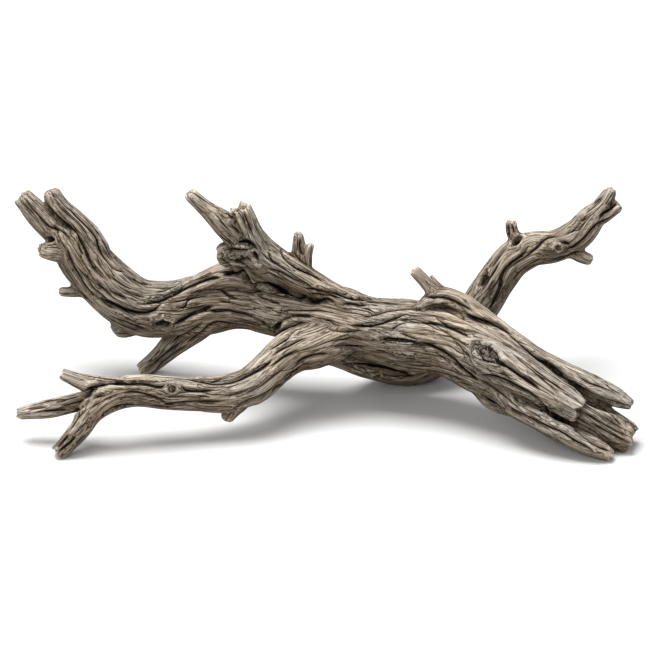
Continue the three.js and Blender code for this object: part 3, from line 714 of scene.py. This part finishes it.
def lay_furrows(tree):
    """Each furrow's half width, depth, line on the skin and line along its bed.

    A furrow is parted where its line leaps to another limb.
    """
    laid = []
    for eye, furrows in ((EYE, FURROWS), (REAR_EYE, REAR_FURROWS)):
        for half_width, depth, line in furrows:
            found = find_points(tree, eye, smooth_rows(np.array(line, float), 0.5, 4))
            if len(found) < 2:
                continue
            spots = np.array([spot for spot, _ in found])
            outward = np.array([normal for _, normal in found])
            leaps = np.flatnonzero(np.linalg.norm(np.diff(spots, axis=0), axis=1) > FURROW_LEAP) + 1
            for rim, out in zip(np.split(spots, leaps), np.split(outward, leaps)):
                if len(rim) > 2:
                    run = steps_along(rim)
                    fade = ease(np.minimum(run, run[-1] - run), -3, min(14, 0.3 * run[-1]))
                    laid.append((half_width, depth, rim, rim - FURROW_BED * depth * fade[:, None] * out))
    return laid


def furrow_cut(points, line, half_width, depth):
    """How much a furrow along a line cuts at points: a steep valley with a low lip, fading at its ends."""
    near, gap, from_end, _, total = near_line(points, line, 4 * half_width)
    fade = ease(from_end, -3, min(14, 0.3 * total))
    narrow = half_width * (0.6 + 0.4 * fade)
    lip = 0.18 * np.exp(-((gap - 2.2 * narrow) / narrow) ** 2)
    return near, -depth * fade * (np.exp(-(gap / narrow) ** 1.6) - lip)


def knot_frames(tree, eye, knots):
    """The place, directions and measures of each knot on the skin."""
    frames = []
    for across, down, half_length, half_width, depth, tilt, collar, reach, crumb in knots:
        found = find_points(tree, eye, [(across, down)])
        if not found:
            continue
        centre, normal = found[0]
        turn = math.radians(tilt)
        right = np.array([1.0, 0, 0]) * math.cos(turn) - SIGHT_UP * math.sin(turn)
        right -= normal * (right @ normal)
        right /= np.linalg.norm(right)
        frames.append({
            "centre": centre, "out": normal, "right": right, "up": np.cross(normal, right),
            "half": (half_length, half_width), "depth": depth, "collar": collar, "reach": reach,
            "crumb": crumb,
        })
    return frames


def knot_swirl(points, frames):
    """Moves points so that the grain read at them flows round the knots and rings them within."""
    moved = points.copy()
    for knot in frames:
        if not knot["reach"]:
            continue
        offset = points - knot["centre"]
        near = np.flatnonzero(np.einsum("ij,ij->i", offset, offset) < (2.6 * knot["reach"]) ** 2)
        offset = offset[near]
        long, wide = offset @ knot["right"], offset @ knot["up"]
        high = offset @ knot["out"]
        a, b = 1.25 * knot["half"][0], 1.25 * knot["half"][1]
        ring = (long / a) ** 2 + (wide / b) ** 2
        fade = np.exp(-(ring / (knot["reach"] / b) ** 2)) * np.exp(-(high / knot["reach"]) ** 2)
        inward = 0.9 * b * (1 - np.sqrt(np.minimum(ring, 1)))
        moved[near] -= (fade * (wide / np.maximum(ring, 1) + inward))[:, None] * knot["up"]
    return moved


def knot_relief(points, frames):
    """The relief of the knots at points, in mm, and how far inside an open knot each is, from 0 to 1."""
    relief = np.zeros(len(points))
    within = np.zeros(len(points))
    for number, knot in enumerate(frames):
        offset = points - knot["centre"]
        near = np.flatnonzero(np.einsum("ij,ij->i", offset, offset) < (4 * knot["half"][0]) ** 2)
        offset = offset[near]
        long, wide = offset @ knot["right"], offset @ knot["up"]
        still = 0 * long
        wobble = 1 + 0.26 * noise(long / 7, wide / 7, still, number + 40)
        wobble += 0.14 * noise(long / 3, wide / 3, still, 7)
        ring = np.hypot(long / knot["half"][0], wide / knot["half"][1]) * wobble
        flat = np.exp(-(offset @ knot["out"] / (1.2 * knot["half"][0])) ** 4)
        pit = ease(-ring, -1.05, -0.45)
        rough = noise(long / 2.8, wide / 2.8, still, number + 60)
        rough += 0.6 * noise(long / 6, wide / 5, still, number + 80)
        rotten = ease(-ring, -1.3, -0.8)
        eaten = ease(rough, 0.05, 0.45) * rotten
        higher_above = 1 + 0.5 * wide / (np.abs(wide) + 3)
        collar = knot["collar"] * np.exp(-((ring - 1.35) / 0.33) ** 2) * higher_above
        relief[near] += flat * (collar - knot["depth"] * pit)
        relief[near] += flat * knot["crumb"] * (0.8 * rough * rotten - 1.1 * eaten)
        sound = 0.75 * min(1, knot["crumb"] / 3) * (1 - ease(rough, 0.0, 0.3))
        open_knot = pit * min(1, max(0, knot["depth"]) / 3.4) * (1 - sound)
        open_knot += 0.8 * eaten * min(1, knot["crumb"] / 2.5)
        within[near] = np.maximum(within[near], flat * np.minimum(open_knot, 1))
    return relief, within


# The skin

def joined_limbs(limbs):
    """One skin round all the limbs, without the small bubbles that they can enclose where they cross."""
    bpy.ops.object.select_all(action="DESELECT")
    shapes = [limb_shape(limb) for limb in limbs]
    for shape in shapes:
        shape.select_set(True)
    bpy.context.view_layer.objects.active = shapes[0]
    bpy.ops.object.join()
    wood = bpy.context.object
    wood.name = "weathered_driftwood"
    wood.data.name = "weathered_driftwood"
    wood.data.remesh_voxel_size = SKIN_VOXEL * MM
    bpy.ops.object.voxel_remesh()

    leftmost = int(read_points(wood.data)[:, 0].argmin())
    bpy.ops.object.mode_set(mode="EDIT")
    bpy.ops.mesh.select_all(action="DESELECT")
    bpy.ops.object.mode_set(mode="OBJECT")
    wood.data.vertices[leftmost].select = True
    bpy.ops.object.mode_set(mode="EDIT")
    bpy.ops.mesh.select_linked()
    bpy.ops.mesh.select_all(action="INVERT")
    bpy.ops.mesh.delete(type="VERT")
    bpy.ops.object.mode_set(mode="OBJECT")
    return wood


def smooth_joints(skin, limbs):
    """Lays fillets where limbs meet, and gives the skin's points."""
    points = read_points(skin) / MM
    edges = neighbours(skin)
    nearest_two = np.sort(off_limbs(limbs, points), axis=0)[:2]
    fillet = np.exp(-(np.maximum(nearest_two[1] - nearest_two[0], 0) / FILLET) ** 2)
    points = spread(points, edges, 0.5 * fillet, FILLET_ROUNDS)
    points = spread(points, edges, 0.5, 2)
    write_points(skin, points)
    return points


def tip_splinters(limb, spot, share, number):
    """How far the splinters of a limb's tip stand out at points on it, as a share of them belongs to it."""
    tip = limb["girth"][-1, 0]
    end = ease(spot["along"], limb["length"] - 0.9 * tip, limb["length"] - 0.1 * tip) * share
    cell = max(3.0, 0.55 * tip)
    still = 0 * end
    jag = noise(spot["side"] / cell, spot["front"] / cell, still, 200 + number)
    if limb["end"] == "broken":
        jag *= 0.5 + 0.32 * tip
        jag += 0.7 * noise(spot["side"] / 2.6, spot["front"] / 2.6, still, 240 + number)
    else:
        jag *= 0.16 * tip
    return end * jag


def work_wood(skin, limbs, points, knots, furrows):
    """Works strands, splintered tips, furrows and knots into the skin."""
    normals = read_normals(skin)
    off = off_limbs(limbs, points)
    shares = np.exp(-np.clip(off, -6, UNREACHED) / 1.6) * (off < 14)
    shares /= np.maximum(shares.sum(axis=0), 1e-9)
    relief = np.zeros(len(points))
    shift = np.zeros((len(points), 3))
    swirled = knot_swirl(points, knots)
    for i, limb in enumerate(limbs):
        near = np.flatnonzero(shares[i] > 0.02)
        share = shares[i, near]
        spot = limb_places(limb, swirled[near])
        relief[near] += share * strand_relief(limb, spot, LIMB_SEEDS * i)
        shift[near] += tip_splinters(limb, spot, share, i)[:, None] * spot["forward"]
    for half_width, depth, line, _ in furrows:
        near, cut = furrow_cut(points, line, half_width, depth)
        relief[near] += cut
    knot_height, _ = knot_relief(points, knots)
    worked = points + normals * (relief + knot_height)[:, None] + shift
    worked[:, 2] = np.maximum(worked[:, 2], 0)
    write_points(skin, worked)


def thin_out(wood):
    """Leaves fewer triangles where the skin is smooth, and none of it under the floor."""
    triangles = sum(len(face.vertices) - 2 for face in wood.data.polygons)
    modifier = wood.modifiers.new("thin_out", "DECIMATE")
    modifier.ratio = min(1, SKIN_TRIANGLES / triangles)
    modifier.use_collapse_triangulate = True
    bpy.ops.object.modifier_apply(modifier=modifier.name)
    points = read_points(wood.data) / MM
    write_points(wood.data, np.column_stack([points[:, :2], np.maximum(points[:, 2], 0)]))
    return points


# What the finish reads off the skin

def mark_heights(skin, points, knots):
    """Marks each point with its height over the skin around it, open knots, and how far it faces up, for
    painted shade in hollows and open knots and painted light and shade from above.

    Gives the way that the skin faces, evened out.
    """
    edges = neighbours(skin)
    normals = read_normals(skin)
    near_mean = spread(points, edges, 0.6, 8)
    far_mean = spread(near_mean, edges, 0.8, 60)
    fine = np.einsum("ij,ij->i", points - near_mean, normals)
    broad = np.einsum("ij,ij->i", near_mean - far_mean, normals)
    _, in_knot = knot_relief(points, knots)
    facing = spread(normals, edges, 0.6, 6)
    # Heights over the skin around, for painted shade in hollows
    add_attribute(skin, "fine_height", "FLOAT", "POINT", fine)
    add_attribute(skin, "broad_height", "FLOAT", "POINT", broad)
    # How far inside an open knot, for painted shade there
    add_attribute(skin, "open_knot", "FLOAT", "POINT", in_knot)
    # How far each point faces up, for painted light on upper faces and painted shade on lower ones
    add_attribute(skin, "painted_light_from_above", "FLOAT", "POINT", facing[:, 2])
    return facing


def furrow_sides(furrows, points, corners):
    """How far each corner lies to the side of the nearest furrow's bed, in half widths of its core of
    painted shade.
    """
    middles = points[corners].mean(axis=1)
    first, second, third = (points[corners[:, k]] for k in range(3))
    across_face = np.cross(second - first, third - first)
    sides = np.full(corners.shape, FAR_OFF)
    nearest = np.full(len(middles), 1e9)
    for _, depth, _, line in furrows:
        near, gap, from_end, run_of, total = near_line(middles, line, 6)
        closer = gap < nearest[near]
        near, gap, from_end, run_of = near[closer], gap[closer], from_end[closer], run_of[closer]
        fade = ease(from_end, -0.5, min(10, 0.3 * total))
        core = (0.12 + 0.15 * depth) * fade + 1e-3
        side = np.cross(np.diff(line, axis=0)[run_of], across_face[near])
        side /= np.maximum(np.linalg.norm(side, axis=1, keepdims=True), 1e-9)
        offset = points[corners[near]] - line[run_of][:, None]
        aside = np.einsum("fck,fk->fc", offset, side) / core[:, None]
        aside[fade < 0.05] = FAR_OFF
        sides[near] = np.clip(aside, -FAR_OFF, FAR_OFF)
        nearest[near] = gap
    return sides


def mark_grain(skin, limbs, points, knots, furrows, facing):
    """Marks each corner with its place in the grain of the limb that its face belongs to.

    It is also marked with how far it lies from the strands' lines, the cracks and the furrows.
    """
    corners = np.empty(len(skin.loops), int)
    skin.loops.foreach_get("vertex_index", corners)
    corners = corners.reshape(-1, 3)
    owner = off_limbs(limbs, points[corners].mean(axis=1)).argmin(axis=0)
    swirled = knot_swirl(points, knots)
    grain = np.zeros((len(corners), 3, 3))
    strand_lines = np.zeros((len(corners), 3, 3))
    crack_lines = np.zeros((len(corners), 3, 3))
    for i, limb in enumerate(limbs):
        faces = np.flatnonzero(owner == i)
        at = corners[faces].ravel()
        spot = limb_places(limb, swirled[at])
        x, y, along = grain_places(limb, spot, LIMB_SEEDS * i)
        grain[faces] = np.stack([x + GRAIN_APART * i, y, along], axis=1).reshape(-1, 3, 3)
        gaps = strand_gaps(spot, facing[at], (x, y, along), LIMB_SEEDS * i)
        lines = np.stack([gaps["broad"], gaps["middle"], gaps["small"]], axis=1).reshape(-1, 3, 3)
        strand_lines[faces] = np.clip(lines, -FAR_OFF, FAR_OFF)
        lines = np.stack([gaps["crack"], gaps["check"]], axis=1).reshape(-1, 3, 2)
        fades_out = np.ptp(lines, axis=1) > 2 * FAR_OFF
        lines = np.where(fades_out[:, None], FAR_OFF, lines)
        crack_lines[faces, :, :2] = np.clip(lines, -FAR_OFF, FAR_OFF)
    crack_lines[:, :, 2] = furrow_sides(furrows, points, corners)
    add_attribute(skin, "grain", "FLOAT_VECTOR", "CORNER", grain * MM)
    add_attribute(skin, "strand_lines", "FLOAT_VECTOR", "CORNER", strand_lines)
    add_attribute(skin, "crack_lines", "FLOAT_VECTOR", "CORNER", crack_lines)


# The finish of the wood

def wood_finish():
    """Dry grey-brown wood, pale on its ridges, with painted shade in its furrows, cracks, hollows and open
    knots and on its undersides, painted light on its upper faces, and fine lines along the grain.
    """
    material = bpy.data.materials.new("weathered_wood")
    material.use_nodes = True
    nodes, links = material.node_tree.nodes, material.node_tree.links
    shader = nodes["Principled BSDF"]
    shader.inputs["Roughness"].default_value = 0.88
    shader.inputs["Specular IOR Level"].default_value = 0.18

    def read(name, output):
        node = nodes.new("ShaderNodeAttribute")
        node.attribute_name = name
        return node.outputs[output]

    def calc(operation, first, second=0.0, third=0.0, clamp=False):
        node = nodes.new("ShaderNodeMath")
        node.operation = operation
        node.use_clamp = clamp
        for socket, value in zip(node.inputs, (first, second, third)):
            if isinstance(value, (int, float)):
                socket.default_value = value
            else:
                links.new(value, socket)
        return node.outputs[0]

    def parts(name):
        node = nodes.new("ShaderNodeSeparateXYZ")
        links.new(read(name, "Vector"), node.inputs[0])
        return node.outputs

    def grain_noise(across, along, detail, distortion=0.0):
        scaled = nodes.new("ShaderNodeVectorMath")
        scaled.operation = "MULTIPLY"
        scaled.inputs[1].default_value = (1000 / across, 1000 / across, 1000 / along)
        links.new(read("grain", "Vector"), scaled.inputs[0])
        texture = nodes.new("ShaderNodeTexNoise")
        texture.inputs["Scale"].default_value = 1.0
        texture.inputs["Detail"].default_value = detail
        texture.inputs["Roughness"].default_value = 0.6
        texture.inputs["Distortion"].default_value = distortion
        links.new(scaled.outputs[0], texture.inputs["Vector"])
        return texture.outputs["Fac"]

    def body_noise(size, detail):
        place_node = nodes.new("ShaderNodeTexCoord")
        texture = nodes.new("ShaderNodeTexNoise")
        texture.inputs["Scale"].default_value = 1000 / size
        texture.inputs["Detail"].default_value = detail
        links.new(place_node.outputs["Object"], texture.inputs["Vector"])
        return texture.outputs["Fac"]

    def between(value, low, high, start, stop):
        """A value eased from start to stop as it goes from low to high."""
        node = nodes.new("ShaderNodeMapRange")
        node.interpolation_type = "SMOOTHSTEP"
        links.new(value, node.inputs["Value"])
        for name, number in (("From Min", low), ("From Max", high), ("To Min", start), ("To Max", stop)):
            node.inputs[name].default_value = number
        return node.outputs["Result"]

    def ramp(value, stops):
        node = nodes.new("ShaderNodeValToRGB")
        links.new(value, node.inputs[0])
        elements = node.color_ramp.elements
        while len(elements) < len(stops):
            elements.new(0.5)
        for element, (at, colour) in zip(elements, stops):
            element.position = at
            element.color = (*colour, 1)
        return node.outputs["Color"]

    def mix(share, first, second, blend="MIX"):
        node = nodes.new("ShaderNodeMix")
        node.data_type = "RGBA"
        node.blend_type = blend
        sockets = node.inputs["Factor"], node.inputs["A"], node.inputs["B"]
        for socket, value in zip(sockets, (share, first, second)):
            if isinstance(value, (int, float)):
                socket.default_value = value
            elif isinstance(value, tuple):
                socket.default_value = (*value, 1)
            else:
                links.new(value, socket)
        return node.outputs["Result"]

    # Tone: paler on ridges; browner and darker in hollows as painted shade; paler on faces turned up and
    # browner and darker on faces turned down, as painted light and shade from above
    # Painted shade in hollows: points lower than the skin around them are darker, and ridges paler
    fine = read("fine_height", "Fac")
    height = calc("MULTIPLY_ADD", fine, 0.11, 0.50)
    height = calc("MULTIPLY_ADD", read("broad_height", "Fac"), 0.035, height)
    # Painted light and shade from above: faces turned up are paler, faces turned down darker
    height = calc("MULTIPLY_ADD", read("painted_light_from_above", "Fac"), 0.19, height)
    streak = grain_noise(2.0, 65, 3)
    height = calc("MULTIPLY_ADD", calc("SUBTRACT", streak, 0.5), 0.22, height, clamp=True)
    colour = ramp(height, [
        (0.0, (0.016, 0.011, 0.007)), (0.24, (0.056, 0.039, 0.022)), (0.45, (0.172, 0.139, 0.101)),
        (0.60, (0.290, 0.249, 0.199)), (0.75, (0.490, 0.443, 0.380)), (1.0, (0.76, 0.71, 0.635))])
    tint = ramp(body_noise(90, 2), [(0.38, (1.04, 0.985, 0.92)), (0.62, (0.96, 0.98, 1.0))])
    colour = mix(1.0, colour, tint, "MULTIPLY")

    # Lines: thin ones along the grain, stronger ones at strands' edges, and painted shade as dark cores in
    # cracks and furrows
    patchy = grain_noise(8, 24, 2)
    thin = calc("ABSOLUTE", calc("SUBTRACT", grain_noise(1.7, 65, 1, 0.1), 0.5))
    thin = calc("DIVIDE", thin, 0.05, clamp=True)
    dash = between(grain_noise(1.6, 19, 1, 0.1), 0.34, 0.42, 0.0, 1.0)
    hair = grain_noise(1.1, 44, 2)
    broad, middle, small = parts("strand_lines")
    crack, check, furrow = parts("crack_lines")
    uneven = calc("MULTIPLY_ADD", calc("SUBTRACT", grain_noise(1.6, 7, 2), 0.5), 2.2, 0.0)
    edge = between(calc("ABSOLUTE", calc("MULTIPLY_ADD", uneven, 0.4, broad)), 0.30, 0.95, 0.0, 1.0)
    seam = between(calc("ABSOLUTE", calc("MULTIPLY_ADD", uneven, 0.2, middle)), 0.22, 0.62, 0.0, 1.0)
    rill = between(calc("ABSOLUTE", small), 0.15, 0.48, 0.0, 1.0)
    # Painted shade in the cracks: a near-black core along each
    fissure = between(calc("ABSOLUTE", calc("MULTIPLY_ADD", uneven, 0.5, crack)), 0.45, 1.15, 0.0, 1.0)
    split = between(calc("ABSOLUTE", calc("MULTIPLY_ADD", uneven, 0.4, check)), 0.30, 0.85, 0.0, 1.0)
    # Painted shade in furrows: a near-black core along each bed, and softer painted shade beside it
    core = between(calc("ABSOLUTE", calc("MULTIPLY_ADD", uneven, 0.8, furrow)), 0.6, 1.7, 0.0, 1.0)
    around = between(calc("ABSOLUTE", furrow), 1.0, 4.0, 0.0, 1.0)
    # Painted shade: deep hollows are darkened further
    deep = between(fine, -1.8, -0.6, 0.0, 1.0)
    for value, strength, dark in (
            (thin, 0.75, (0.27, 0.22, 0.16)), (dash, 0.60, (0.27, 0.22, 0.16)),
            (edge, between(patchy, 0.36, 0.58, 0.45, 0.85), (0.14, 0.10, 0.06)),
            (seam, between(patchy, 0.40, 0.62, 0.85, 0.45), (0.16, 0.12, 0.07)),
            (rill, between(patchy, 0.36, 0.58, 0.45, 0.85), (0.24, 0.19, 0.13)),
            (fissure, 0.9, (0.08, 0.055, 0.03)), (split, 0.85, (0.10, 0.072, 0.04)),
            (core, 0.97, (0.055, 0.036, 0.019)), (around, 0.25, (0.46, 0.41, 0.35)),
            (deep, 0.9, (0.22, 0.165, 0.10))):
        colour = mix(strength, colour, ramp(value, [(0.0, dark), (1.0, (1.0, 1.0, 1.0))]), "MULTIPLY")
    hairs = ramp(hair, [(0.37, (0.36, 0.33, 0.29)), (0.48, (1.0, 1.0, 1.0)), (0.66, (1.28, 1.27, 1.26))])
    colour = mix(0.9, colour, hairs, "MULTIPLY")
    # Painted shade: the inside of open knots is painted near black
    colour = mix(calc("MULTIPLY", read("open_knot", "Fac"), 0.85), colour, (0.014, 0.010, 0.007))
    links.new(colour, shader.inputs["Base Color"])

    bump_height = calc("MULTIPLY", hair, 0.8)
    for value, share in (
            (thin, 0.3), (dash, 0.35), (edge, 0.8), (seam, 0.6), (rill, 0.45),
            (fissure, 1.2), (split, 0.8), (core, 1.4)):
        bump_height = calc("MULTIPLY_ADD", value, share, bump_height)
    bump = nodes.new("ShaderNodeBump")
    bump.inputs["Strength"].default_value = 0.7
    bump.inputs["Distance"].default_value = 0.0009
    links.new(bump_height, bump.inputs["Height"])
    links.new(bump.outputs["Normal"], shader.inputs["Normal"])
    return material


# The piece

limbs = [limb_rows(end, route) for end, route in LIMBS.values()]
driftwood = joined_limbs(limbs)
points = smooth_joints(driftwood.data, limbs)
faces = [tuple(face.vertices) for face in driftwood.data.polygons]
tree = BVHTree.FromPolygons([Vector(point) for point in points], faces)
knots = knot_frames(tree, EYE, KNOTS) + knot_frames(tree, REAR_EYE, REAR_KNOTS)
furrows = lay_furrows(tree)
work_wood(driftwood.data, limbs, points, knots, furrows)
points = thin_out(driftwood)
facing = mark_heights(driftwood.data, points, knots)
mark_grain(driftwood.data, limbs, points, knots, furrows, facing)
driftwood.data.materials.clear()
driftwood.data.materials.append(wood_finish())
bpy.ops.object.select_all(action="DESELECT")
driftwood.select_set(True)
bpy.context.view_layer.objects.active = driftwood
bpy.ops.object.shade_smooth()
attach(driftwood, "root")
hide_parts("driftwood")


# The floor, the light and the camera

def pale_floor():
    just_below = -0.0002
    bpy.ops.mesh.primitive_plane_add(size=30, location=(0, 0, just_below))
    floor = bpy.context.object
    floor.name = "pale_floor"
    material = bpy.data.materials.new("pale_floor")
    material.use_nodes = True
    shader = material.node_tree.nodes["Principled BSDF"]
    shader.inputs["Base Color"].default_value = (0.80, 0.80, 0.80, 1)
    shader.inputs["Roughness"].default_value = 0.9
    shader.inputs["Specular IOR Level"].default_value = 0.1
    floor.data.materials.append(material)


def soft_light(name, place_m, size, power):
    """A square light of a size in metres and a power in watts, turned to the middle of the wood."""
    bpy.ops.object.light_add(type="AREA", location=place_m)
    light = bpy.context.object
    light.name = name
    light.data.size = size
    light.data.energy = power
    sight = Vector((0, 0, 0.1)) - Vector(place_m)
    light.rotation_euler = sight.to_track_quat("-Z", "Y").to_euler()


pale_floor()
soft_light("overhead_light", (-0.9, 0.2, 5.0), size=3.0, power=320)
soft_light("front_light", (-1.3, -2.0, 1.6), size=1.6, power=17)
world = bpy.data.worlds.new("pale_room")
world.use_nodes = True
world.node_tree.nodes["Background"].inputs["Color"].default_value = (1, 1, 1, 1)
world.node_tree.nodes["Background"].inputs["Strength"].default_value = 0.46
bpy.context.scene.world = world
bpy.context.scene.view_settings.view_transform = "Standard"

bpy.ops.object.camera_add(location=EYE * MM, rotation=(math.pi / 2 - EYE_TILT, 0, 0))
camera = bpy.context.object
camera.data.lens = LENS
camera.data.sensor_width = SENSOR
camera.data.clip_end = 60
bpy.context.scene.camera = camera
